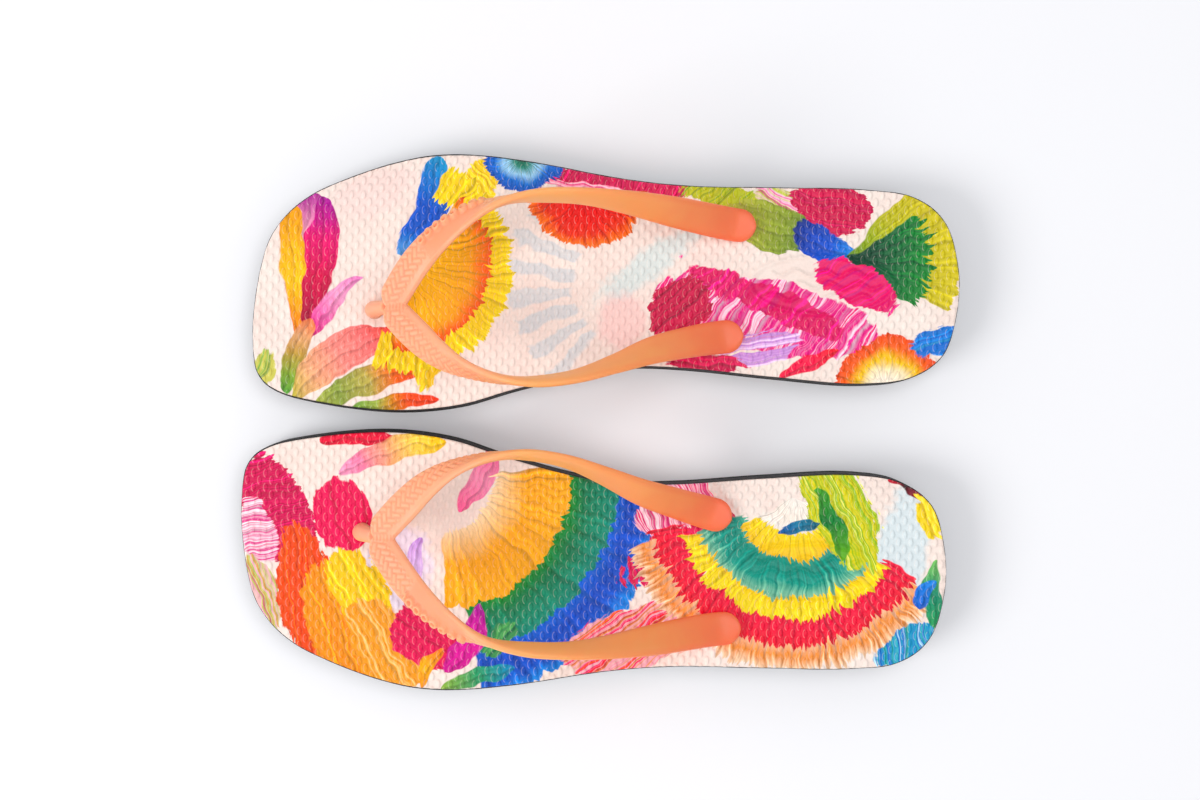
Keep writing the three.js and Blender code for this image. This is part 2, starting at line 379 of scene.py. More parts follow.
def makeFootbed(side, foot):
    node = side + "_printed_footbed"
    top, bottom = edgeRing(node, 1, foot), edgeRing(node, -1, foot)
    piece = addGrid(side + "_footbed_sheet", footbed["alongSteps"], footbed["acrossSteps"])
    u, v = readValues(piece, "u"), readValues(piece, "v")
    x, y = stretchOver(top, u, v).T
    relief = grainHeight(x, y)
    drawn, cleared = emblemHeight(x, y)
    relief = relief * (1 - cleared) + drawn
    dish = footbed["dish"]
    for hole in holes.values():
        away = np.hypot(x - hole[0], y - hole[1])
        sunk = dish["depth"] * np.exp(-(((away - dish["radius"]) / dish["width"]) ** 2))
        relief = relief * smoothStep(*footbed["plainRound"], away) - sunk
    toEdge = np.minimum(np.minimum(u, 1 - u) * np.ptp(x), np.minimum(v, 1 - v) * np.ptp(y))
    rounding = np.clip(1 - toEdge / footbed["edgeRound"], 0, 1)
    z = heightOf(top, x) - footbed["baseDrop"] + relief
    z = z - footbed["edgeDrop"] * (1 - np.sqrt(1 - rounding ** 2))
    writePoints(piece, toWorld(np.column_stack([x, y, z]), foot))
    addWall(piece, foot, bottom)
    punchHoles(piece, foot, footbed["holeRadius"])
    smoothShade(piece, 50)
    return piece


# The core is the black foam between footbed and outsole.
core = {
    "edgeSteps": 720,
    "levels": 10,
    "bulge": 0.14,
    "ripple": 0.05,
    "holeRadius": 3.4,
}


def makeCore(side, foot):
    node = side + "_foam_core"
    bottom, top = edgeRing(node, -1, foot), edgeRing(node, 1, foot)
    bpy.ops.object.select_all(action="DESELECT")
    bpy.ops.mesh.primitive_circle_add(vertices=core["edgeSteps"], radius=1, fill_type="NGON")
    piece = bpy.context.object
    piece.name = piece.data.name = side + "_foam_layer"
    corners = readPoints(piece)
    saveValues(piece, "round", (np.arctan2(corners[:, 1], corners[:, 0]) / math.tau + 0.5) % 1)
    for level in range(core["levels"] + 1):
        if level:
            bpy.ops.object.mode_set(mode="EDIT")
            bpy.ops.mesh.select_mode(type="FACE")
            bpy.ops.mesh.extrude_region_move()
            bpy.ops.object.mode_set(mode="OBJECT")
        share = level / core["levels"]
        chosen = readChosen(piece)
        points = readPoints(piece)
        at = readValues(piece, "round")[chosen] * len(bottom["points"])
        low, high = (throughPoints(ring["points"], at, True) for ring in (bottom, top))
        ahead, behind = (throughPoints(bottom["points"], at + step, True) for step in (0.2, -0.2))
        along = (ahead - behind) / np.linalg.norm(ahead - behind, axis=1)[:, None]
        swell = core["bulge"] * (math.sin(math.pi * share) - 1)
        swell = swell + core["ripple"] * np.sin(at * 1.9 + 3 * share) * np.sin(at * 0.7 + 5 * share)
        outward = np.column_stack([along[:, 1], -along[:, 0]])
        flat = low * (1 - share) + high * share + outward * swell[:, None]
        z = heightOf(bottom, flat[:, 0]) * (1 - share) + heightOf(top, flat[:, 0]) * share
        points[chosen] = toWorld(np.column_stack([flat, z]), foot)
        writePoints(piece, points)
    closeShell(piece)
    punchHoles(piece, foot, core["holeRadius"])
    smoothShade(piece, 50)
    return piece


# The outsole is black rubber with a waved tread and recesses for the plug buttons.
outsole = {
    "alongSteps": 420,
    "acrossSteps": 130,
    "grooveDepth": 0.9,
    "groovePitch": 7.0,
    "grooveWidth": 1.7,
    "wave": (2.2, 13.0),  # height and length
    "rimWidth": 5.0,
    "plainRound": (10.5, 11.5),  # the grooves start between these distances from a hole
    "recessRadius": 7.8,
    "edgeSamples": 2000,
}


def treadDepth(x, y, toEdge):
    wave = outsole["wave"][0] * np.sin(y / outsole["wave"][1] * math.tau)
    phase = (x + wave) / outsole["groovePitch"]
    away = np.abs(phase - np.round(phase)) * outsole["groovePitch"]
    groove = smoothStep(outsole["grooveWidth"] / 2 + 0.3, outsole["grooveWidth"] / 2 - 0.4, away)
    groove = groove * smoothStep(outsole["rimWidth"] - 0.4, outsole["rimWidth"] + 0.4, toEdge)
    rimGroove = smoothStep(1.1, 0.5, np.abs(toEdge - outsole["rimWidth"] + 1))
    for hole in holes.values():
        groove = groove * smoothStep(*outsole["plainRound"], np.hypot(x - hole[0], y - hole[1]))
    return outsole["grooveDepth"] * np.maximum(groove, rimGroove)


def makeOutsole(side, foot):
    node = side + "_outsole"
    bottom, top = edgeRing(node, -1, foot), edgeRing(node, 1, foot)
    piece = addGrid(side + "_rubber_tread", outsole["alongSteps"], outsole["acrossSteps"])
    u, v = readValues(piece, "u"), readValues(piece, "v")
    x, y = stretchOver(bottom, u, v).T
    count = outsole["edgeSamples"]
    edge = kdtree.KDTree(count)
    at = np.linspace(0, len(bottom["points"]), count)
    for i, (px, py) in enumerate(throughPoints(bottom["points"], at, True)):
        edge.insert((px, py, 0), i)
    edge.balance()
    toEdge = np.array([edge.find((px, py, 0))[2] for px, py in zip(x, y)])
    z = heightOf(bottom, x) + treadDepth(x, y, toEdge)
    writePoints(piece, toWorld(np.column_stack([x, y, z]), foot))
    addWall(piece, foot, top)
    punchHoles(piece, foot, outsole["recessRadius"])
    smoothShade(piece, 40)
    return piece


# The strap is two bands that turn over on their way back, the toe post and three plugs.
# Each station: x, y and height of the band's centre, its turn in degrees, and its width.
outerArm = np.array([
    (-76.5, -10.2, 32.6, 4, 10.6),
    (-67.2, 2.1, 38.2, 15, 11.6),
    (-58.4, 11, 43.4, 27, 11.4),
    (-47.6, 18.2, 48.6, 51, 11.2),
    (-35.4, 23.1, 53.1, 80, 11),
    (-21.6, 25.2, 55.4, 102, 11),
    (-7.6, 25.6, 54.2, 109, 11.2),
    (5.8, 24.9, 49.6, 122, 11.6),
    (20, 23.7, 40.8, 140, 12),
    (33.6, 22.7, 28.6, 160, 12),
    (44.6, 22, 19.9, 176, 12.2),
    (53.8, 21.4, 18.9, 180, 12.2),
])
innerArm = np.array([
    (-76.5, -10.2, 32.6, 4, 10.6),
    (-66.5, -20.4, 38.2, 15, 11.6),
    (-57.4, -28.2, 43.4, 36, 11.4),
    (-46.8, -33.9, 48.6, 66, 11.2),
    (-34.8, -37.4, 53.1, 86, 11),
    (-22.4, -38.2, 55.4, 102, 11),
    (-9.4, -36.2, 54.2, 109, 11.2),
    (3.8, -31.6, 49.6, 122, 11.6),
    (17.4, -26, 40.8, 142, 12.2),
    (30.4, -22, 28.6, 160, 12),
    (40.8, -19.3, 19.9, 176, 12.2),
    (49.8, -17.6, 18.8, 180, 12.2),
])
lastStation = len(outerArm) - 1
strap = {
    "thickness": 3.2,
    "squareness": 2.6,  # of the band's section: 2 is an ellipse
    "splayPeak": (0.24, 0.5),
    "post": [(-83.8, -10.7, 1.2), (-83.8, -10.7, 14.8), (-82.9, -10.6, 21.8), (-77, -10.2, 31.6)],
    "postRadii": (3.1, 3.1, 3.0, 2.5),
    "stemHeights": (1.2, 8, 18.6),
    "stemRadius": 3.1,
    "button": {"radius": 7.2, "bottom": 0.7, "top": 3.1},
    "voxel": 0.39,
    "plaitBar": 1.9,  # the width of one bar of the plait, twice as long
    "plaitHeight": 0.42,
    "plaitEnd": 4.4,  # the station at which the plait fades out
    "plainRim": 2.7,
    "seam": {"line": -10.2, "end": 1.4, "width": 1.5, "tick": 1.25, "height": 0.28, "sink": 0.08},
    "edgeLine": {"inset": 1.1, "width": 0.4, "height": 0.16},
    "rings": {"start": 1.45, "end": 3.6, "inset": 2.8, "pitch": 3.6, "radius": 1.15, "wire": 0.62,
              "height": 1.7},
    "ridges": {"start": 4.0, "end": 8.5, "pitch": 1.1, "height": 0.05},
}


def splayed(stations, amount, peak):
    along = np.linspace(0, 1, len(stations))
    share = np.sin(math.pi * along ** (math.log(0.5) / math.log(peak)))
    moved = stations.astype(float).copy()
    moved[:, 1] += amount * share
    return moved


def bandFrames(stations, side, at):
    # centre, direction, face and across vectors of a band at each step, and its turn and width
    rows = throughPoints(stations, at, False)
    centre = rows[:, :3]
    along = np.gradient(centre, axis=0)
    along /= np.linalg.norm(along, axis=1)[:, None]
    sideways = np.cross((0, 0, 1), along)
    sideways /= np.linalg.norm(sideways, axis=1)[:, None]
    upright = np.cross(along, sideways)
    turn = np.radians(rows[:, 3])[:, None]
    face = upright * np.cos(turn) + sideways * side * np.sin(turn)
    across = np.cross(face, along)
    return {"centre": centre, "along": along, "face": face, "across": across, "width": rows[:, 4], "at": at,
            "length": np.concatenate([[0], np.cumsum(np.linalg.norm(np.diff(centre, axis=0), axis=1))])}


def addTube(name, loops, foot):
    # loops is rows x sides x 3: a grid bent round into a tube with closed ends
    rows, sides = loops.shape[:2]
    piece = addGrid(name, rows - 1, sides)
    row = np.round(readValues(piece, "u") * (rows - 1)).astype(int)
    step = np.round(readValues(piece, "v") * sides).astype(int) % sides
    writePoints(piece, toWorld(loops[row, step], foot))
    closeShell(piece)
    return piece


def addBand(name, frames, foot):
    length, half = frames["length"], frames["width"] / 2
    fromEnd = np.minimum(length, length[-1] - length)
    gone = np.clip(1 - fromEnd / half, 0, 1)
    half = half * np.maximum(0.12, np.sqrt(1 - gone ** 2))
    angle = np.linspace(0, math.tau, 32, endpoint=False)
    power = 2 / strap["squareness"]
    wide = np.sign(np.cos(angle)) * np.abs(np.cos(angle)) ** power
    deep = np.sign(np.sin(angle)) * np.abs(np.sin(angle)) ** power * strap["thickness"] / 2
    loops = frames["centre"][:, None] + frames["across"][:, None] * (half[:, None] * wide)[:, :, None]
    return addTube(name, loops + frames["face"][:, None] * deep[None, :, None], foot)


def roundLoops(centres, radii):
    along = np.gradient(centres, axis=0)
    along /= np.linalg.norm(along, axis=1)[:, None]
    b = np.cross(along, (1, 0, 0))
    b /= np.linalg.norm(b, axis=1)[:, None]
    a = np.cross(b, along)
    angle = np.linspace(0, math.tau, 32, endpoint=False)
    ring = a[:, None] * np.cos(angle)[None, :, None] + b[:, None] * np.sin(angle)[None, :, None]
    return centres[:, None] + ring * np.asarray(radii, float)[:, None, None]


def addStem(name, path, foot, radii):
    at = np.linspace(0, len(path) - 1, 24)
    centres = throughPoints(np.array(path, float), at, False)
    return addTube(name, roundLoops(centres, np.interp(at, range(len(path)), radii)), foot)


def addButton(name, hole, foot):
    # a flat disc with a rounded rim and a shallow ring pressed into its underside
    bottom, top, radius = strap["button"]["bottom"], strap["button"]["top"], strap["button"]["radius"]
    profile = [(0.3, bottom + 0.5), (3.4, bottom + 0.5), (4.1, bottom), (radius - 0.6, bottom),
               (radius, bottom + 0.6), (radius, top - 0.5), (radius - 0.5, top), (0.3, top)]
    angle = np.linspace(0, math.tau, 48, endpoint=False)
    circle = np.column_stack([np.cos(angle), np.sin(angle), angle * 0])
    loops = np.array([circle * r + (*hole, z) for r, z in profile])
    return addTube(name, loops, foot)


def plaitPattern(a, b):
    # a herringbone of bars, each one wide and two long: 1 on top of a bar and 0 in the grooves
    column, row = np.floor(a), np.floor(b)
    step = (column - row) % 4
    lying = step < 2
    u = np.where(lying, a - column + step, b - row + 3 - step)
    v = np.where(lying, b - row, a - column)
    toEdge = np.minimum(np.minimum(u, 2 - u), np.minimum(v, 1 - v))
    return smoothStep(0.02, 0.3, toEdge)


def findOnBands(local, bands):
    # where each point lies on its nearest band, and how near that is
    nearest = np.full(len(local), 1e9)
    found = {}
    for side, band in bands:
        tree = kdtree.KDTree(len(band["centre"]))
        for i, centre in enumerate(band["centre"]):
            tree.insert(centre, i)
        tree.balance()
        near = np.array([tree.find(p)[1] for p in local])
        away = local - band["centre"][near]
        across = np.einsum("ij,ij->i", away, band["across"][near])
        face = np.einsum("ij,ij->i", away, band["face"][near])
        along = np.einsum("ij,ij->i", away, band["along"][near])
        half = band["width"][near] / 2
        reach = np.hypot(across / half, face / (strap["thickness"] / 2)) + np.abs(along) / 8
        values = {"at": band["at"][near], "run": band["length"][near] + along, "across": across,
                  "face": face, "half": half, "side": np.full(len(local), side)}
        closer = reach < nearest
        nearest = np.where(closer, reach, nearest)
        found = {key: np.where(closer, value, found.get(key, value)) for key, value in values.items()}
    return found, nearest


def embossStrap(piece, foot, bands):
    # raises the plait, the seam, a row of rings and the fine ridges, and saves what the colours need
    local = toSandal(readPoints(piece), foot)
    found, nearest = findOnBands(local, bands)
    at, run, half, across = found["at"], found["run"], found["half"], found["across"]
    inward = -found["side"] * across
    onFace = smoothStep(0.35, 0.8, found["face"] / (strap["thickness"] / 2)) * (nearest < 1.5)
    seam, edgeLine, rings, ridges = strap["seam"], strap["edgeLine"], strap["rings"], strap["ridges"]
    bar = strap["plaitBar"] * math.sqrt(2)
    plait = plaitPattern((run + inward) / bar + 40, (run - inward) / bar + 40)
    ringZone = (found["side"] > 0) * smoothStep(rings["start"], rings["start"] + 0.15, at)
    ringZone = ringZone * smoothStep(rings["end"], rings["end"] - 0.2, at)
    plaitMask = onFace * smoothStep(strap["plaitEnd"], strap["plaitEnd"] - 0.5, at) * (1 - ringZone)
    plaitMask = plaitMask * smoothStep(half - strap["plainRim"], half - strap["plainRim"] - 0.5, inward)
    fromSeam = np.where(at < seam["end"], np.abs(local[:, 1] - seam["line"]), 9)
    nearSeam = smoothStep(seam["width"], seam["width"] - 0.5, fromSeam) * onFace
    ticks = 0.5 + 0.5 * np.cos(local[:, 0] / seam["tick"] * math.tau)
    lift = strap["plaitHeight"] * (plait - 0.4) * plaitMask * (1 - nearSeam)
    lift = lift + nearSeam * (seam["height"] * ticks - seam["sink"])
    rim = np.exp(-(((inward - half + edgeLine["inset"]) / edgeLine["width"]) ** 2))
    lift = lift + edgeLine["height"] * rim * onFace * smoothStep(5.5, 4.0, at)
    fromRing = np.hypot(inward + rings["inset"], run % rings["pitch"] - rings["pitch"] / 2)
    ring = np.exp(-(((fromRing - rings["radius"]) / rings["wire"]) ** 2))
    lift = lift + ringZone * onFace * (rings["height"] * ring - 0.1)
    ridge = np.cos(across / ridges["pitch"] * math.tau) * onFace
    ridge = ridge * smoothStep(ridges["start"], ridges["start"] + 0.6, at)
    lift = lift + ridges["height"] * ridge * smoothStep(ridges["end"], ridges["end"] - 1, at)
    normals = np.empty(len(piece.data.vertices) * 3, np.float32)
    piece.data.vertices.foreach_get("normal", normals)
    outward = toSandal(readPoints(piece) + normals.reshape(-1, 3) * mm, foot) - local
    writePoints(piece, toWorld(local + outward * lift[:, None], foot))
    raised = plait * (1 - nearSeam) + ticks * nearSeam
    raised = raised * (1 - ringZone) + ring * ringZone
    patterned = np.maximum(np.maximum(plaitMask, nearSeam), ringZone * onFace)
    # backward and rim steer the strap's painted light, and groove its painted shade in the hollows
    saveValues(piece, "backward", np.clip(at / lastStation, 0, 1))
    saveValues(piece, "rim", np.clip(np.abs(across) / half, 0, 1.2))
    saveValues(piece, "groove", (1 - raised) * patterned)


def makeStrap(side, foot):
    nearEnds = np.array([0.03, 0.1, 0.2])  # closer steps where the ends are rounded
    at = np.sort(np.concatenate([np.linspace(0, lastStation, 150), nearEnds, lastStation - nearEnds]))
    bands = []
    arms = zip((1, -1), (outerArm, innerArm), foot["splay"], strap["splayPeak"])
    for sign, stations, amount, peak in arms:
        bands.append((sign, bandFrames(splayed(stations, sign * amount, peak), sign, at)))
    parts = [addBand(f"{side}_band_{k}", band, foot) for k, (sign, band) in enumerate(bands)]
    parts.append(addStem(side + "_post", strap["post"], foot, strap["postRadii"]))
    for name, hole in holes.items():
        parts.append(addButton(f"{side}_{name}_button", hole, foot))
        if name != "toe":
            path = [(*hole, z) for z in strap["stemHeights"]]
            parts.append(addStem(f"{side}_{name}_stem", path, foot, [strap["stemRadius"]] * len(path)))
    pickOnly(parts[0])
    for part in parts:
        part.select_set(True)
    bpy.ops.object.join()
    piece = bpy.context.object
    piece.name = piece.data.name = side + "_moulded_strap"
    applyModifier(piece, "REMESH", mode="VOXEL", voxel_size=strap["voxel"] * mm, adaptivity=0)
    applyModifier(piece, "SMOOTH", factor=0.5, iterations=6)
    embossStrap(piece, foot, bands)
    smoothShade(piece, 180)
    return piece


def blackRubber(name, colour, poreSize):
    finish = Finish(name)
    where = finish.add("TexCoord", out=3)
    pores = finish.add("TexVoronoi", None, {"Vector": where, "Scale": 1 / (poreSize * mm)})
    cloud = finish.noise(where, scale=90, detail=4)
    fine = finish.noise(where, scale=2200, detail=3)
    stops = [(0.3, paint(colour[0])), (0.75, paint(colour[1]))]
    finish.set("Base Color", finish.ramp(cloud * 0.7 + fine * 0.3, stops))
    finish.set("Roughness", 0.62 + 0.25 * fine)
    finish.bump(pores * 0.7 + fine * 0.5, 0.12)
    return finish.material


def strapPlastic(side, foot):
    finish = Finish(side + "_soft_coral_plastic")
    back = finish.add("Attribute", {"attribute_name": "backward"}, out=2)
    rim = finish.add("Attribute", {"attribute_name": "rim"}, out=2)
    where = finish.place(foot)
    cloud = finish.noise(where, scale=0.12, detail=2)
    # painted light: the ramp makes the strap lighter and yellower towards the toe and redder towards the
    # plugs, for light that passes through the plastic
    places = (0.0, 0.3, 0.45, 0.72, 0.86, 1.0)  # from the toe to the plugs
    codes = ("FFB08A", "FFAC80", "FFB46A", "FFA05A", "FF824C", "FF744C")
    stops = [(place, paint(code)) for place, code in zip(places, codes)]
    body = finish.ramp(back + 0.08 * (cloud - 0.5), stops)
    # painted light: the band is painted redder towards its edges on the rear part, a glow of light through
    # the thin plastic
    paintedLight = finish.maths("MULTIPLY", finish.maths("SUBTRACT", rim, 0.62, clamp=True), 1.6, clamp=True)
    body = finish.mix(paintedLight * finish.maths("SMOOTH_MAX", back - 0.25, 0.0, 0.1), body, paint("FF5A38"))
    # painted shade: the hollows of the plait, the seam and the rings are tinted darker and redder
    groove = finish.add("Attribute", {"attribute_name": "groove"}, out=2)
    body = finish.mix(groove * 0.35, body, paint("FA8A5C"))
    finish.set("Base Color", body)
    finish.set("Roughness", 0.36 + 0.12 * cloud)
    finish.surface.inputs["Subsurface Weight"].default_value = 0.6
    finish.surface.inputs["Subsurface Radius"].default_value = (1.0, 0.5, 0.3)
    finish.surface.inputs["Subsurface Scale"].default_value = 3.5 * mm
    finish.bump(finish.noise(where, scale=2.2, detail=3), 0.03)
    return finish.material


def grainTops(finish, foot):
    # the footbed's grains once more: their tops, and a crescent of painted highlight on the toe side of each
    f = finish
    x, y = f.split(f.place(foot))[:2]
    pitchX, pitchY = footbed["grainPitch"]
    column = f.maths("ROUND", x / pitchX)
    dx = (x - column * pitchX) / (footbed["grainSize"][0] / 2)
    y = y - f.maths("FRACT", column * 0.5) * pitchY
    dy = (y - f.maths("ROUND", y / pitchY) * pitchY) / (footbed["grainSize"][1] / 2)
    reach = f.maths("SQRT", dx * dx + dy * dy)
    top = f.maths("MULTIPLY_ADD", reach, -2.4, 2.4, clamp=True)
    rim = f.maths("MULTIPLY_ADD", abs(reach - 0.8), -5.5, 1, clamp=True)
    # painted highlight: a thin crescent on the toe side of each grain, where the key light from the toe end
    # catches it
    paintedLight = rim * f.maths("MULTIPLY_ADD", dx, -1.8, 0.3, clamp=True)
    emblem = footbed["emblem"]
    away = f.maths("SQRT", ((x - emblem["x"]) / emblem["long"]) ** 2 + (y / emblem["wide"]) ** 2)
    clear = f.maths("MULTIPLY_ADD", away, 8, -8, clamp=True)
    return top * clear, paintedLight * clear


class PrintInk:
    # paints one motif over another, in millimetres from the sole's centre
    def __init__(self, finish, foot):
        self.finish = finish
        x, y = finish.split(finish.place(foot))[:2]
        plane = finish.add("CombineXYZ", None, {0: x, 1: y})
        sockets = {"Vector": plane, "Scale": 0.1, "Detail": 1.5}
        sway = finish.add("TexNoise", {"noise_dimensions": "2D"}, sockets, 1)
        swayX, swayY = finish.split(sway)[:2]
        self.x = finish.maths("MULTIPLY_ADD", swayX, 5, x - 2.5)
        self.y = finish.maths("MULTIPLY_ADD", swayY, 5, y - 2.5)
        self.drift = finish.noise(plane, scale=0.09, detail=1) * 0.4
        self.cloud = finish.noise(plane, scale=0.3, detail=3)
        shade = finish.noise(plane, scale=0.06, detail=3)
        self.colour = finish.ramp(shade, [(0.35, paint("F6E0D6")), (0.65, paint("FCECE2"))])

    def facing(self, at, heading):
        # distances along a motif's heading and across it
        c, s = math.cos(math.radians(heading)), math.sin(math.radians(heading))
        f = self.finish
        u = f.maths("MULTIPLY_ADD", self.x, c, f.maths("MULTIPLY_ADD", self.y, s, -at[0] * c - at[1] * s))
        v = f.maths("MULTIPLY_ADD", self.x, -s, f.maths("MULTIPLY_ADD", self.y, c, at[0] * s - at[1] * c))
        return u, v

    def reach(self, u, v, size=(1, 1)):
        f = self.finish
        if size != (1, 1):
            u, v = u * (1 / size[0]), v * (1 / size[1])
        return f.maths("SQRT", f.maths("MULTIPLY_ADD", u, u, v * v))

    def brush(self, across, rate):
        # the light and dark of brush strokes, from 0 to 1
        f = self.finish
        where = f.maths("MULTIPLY_ADD", across, rate, self.drift)
        sockets = {"W": where, "Scale": 1, "Detail": 2, "Roughness": 0.45}
        return f.add("TexNoise", {"noise_dimensions": "1D"}, sockets)

    def inks(self, value, codes):
        steps = [i / (len(codes) - 1) for i in range(len(codes))]
        return self.finish.ramp(value, [(step, paint(code)) for step, code in zip(steps, codes)])

    def lay(self, inside, colour, strokes, soft=0.4, strength=1.0):
        # inside is how far within the motif a point lies
        f = self.finish
        cover = f.maths("MULTIPLY_ADD", inside, 1 / soft, 0.5, clamp=True)
        if strength < 1:
            cover = cover * strength
        if strokes:
            light = f.maths("MULTIPLY_ADD", strokes, 1.4, 0.32)
            colour = f.add("HueSaturation", None, {"Saturation": 1.12, "Value": light, "Color": colour})
        self.colour = f.mix(cover, self.colour, colour)

    def fan(self, at, heading, spread, inner, outer, codes, bite=4, count=12):
        f = self.finish
        u, v = self.facing(at, heading)
        angle = f.maths("ARCTAN2", v, u)
        radius = self.reach(u, v)
        strokes = self.brush(angle, count * 1.6)
        ragged = f.maths("MULTIPLY_ADD", strokes, bite * 1.4, radius - bite * 0.7)
        inside = f.maths("MINIMUM", outer - ragged, ragged - inner) if inner else outer - ragged
        side = (math.radians(spread / 2) - abs(angle)) * radius
        inside = f.maths("MINIMUM", inside, side)
        share = f.maths("MULTIPLY_ADD", ragged, 1 / (outer - inner), -inner / (outer - inner))
        self.lay(inside, self.inks(share, codes), strokes)

    def strokes(self, at, heading, spread, inner, outer, codes, count):
        # loose feather strokes that leave the ground bare between them
        f = self.finish
        u, v = self.facing(at, heading)
        angle = f.maths("ARCTAN2", v, u)
        radius = self.reach(u, v)
        strokes = self.brush(angle, count * 0.7)
        wave = f.maths("SINE", f.maths("MULTIPLY_ADD", self.cloud, 1, angle * (count * 2.2)))
        inside = f.maths("MINIMUM", f.maths("MULTIPLY_ADD", strokes, 14, outer - 7 - radius), radius - inner)
        inside = f.maths("MINIMUM", inside, (math.radians(spread / 2) - abs(angle)) * radius)
        inside = f.maths("MINIMUM", inside, (wave + 0.2) * 2)
        self.lay(inside, self.inks(strokes, codes), None, soft=1.2, strength=0.85)

    def petal(self, start, end, width, bend, codes, full=1.0, bite=0.5, skew=1.0):
        f = self.finish
        run = math.hypot(end[0] - start[0], end[1] - start[1])
        u, v = self.facing(start, math.degrees(math.atan2(end[1] - start[1], end[0] - start[0])))
        share = u * (1 / run)
        bulge = share ** skew if skew != 1 else share
        arch = f.maths("MULTIPLY", bulge * 4, 1 - bulge, clamp=True)
        v = f.maths("MULTIPLY_ADD", arch, -bend, v)
        strokes = self.brush(v, 0.7)
        half = f.maths("POWER", arch, full) * (width / 2)
        inside = f.maths("MULTIPLY_ADD", strokes, bite, half - abs(v)) - bite / 2
        inside = f.maths("MINIMUM", inside, f.maths("MULTIPLY_ADD", arch, 12, -0.3))
        self.lay(inside, self.inks(share, codes), strokes)

    def patch(self, at, heading, size, codes, by="along", bite=2.5, turn=0, gaps=0.0, rate=0.65):
        f = self.finish
        u, v = self.facing(at, heading)
        reach = self.reach(u, v, size)
        across = v
        if turn:
            slant = math.radians(turn)
            across = f.maths("MULTIPLY_ADD", u, -math.sin(slant), v * math.cos(slant))
        strokes = self.brush(across, rate)
        inside = f.maths("MULTIPLY_ADD", self.cloud + strokes, bite, (1 - reach) * min(size)) - bite
        if gaps:
            inside = f.maths("MINIMUM", inside, (strokes - gaps) * 6)
        if by == "streak":
            value = f.maths("MULTIPLY_ADD", strokes, 2.4, -0.7)
        else:
            value = f.maths("MULTIPLY_ADD", u, 0.5 / size[0], 0.5)
        self.lay(inside, self.inks(value, codes), strokes)

    def wash(self, at, heading, size, code, strength):
        f = self.finish
        u, v = self.facing(at, heading)
        inside = f.maths("MULTIPLY_ADD", self.cloud, 6, (1 - self.reach(u, v, size)) * min(size)) - 3
        self.lay(inside, paint(code), None, soft=3, strength=strength)


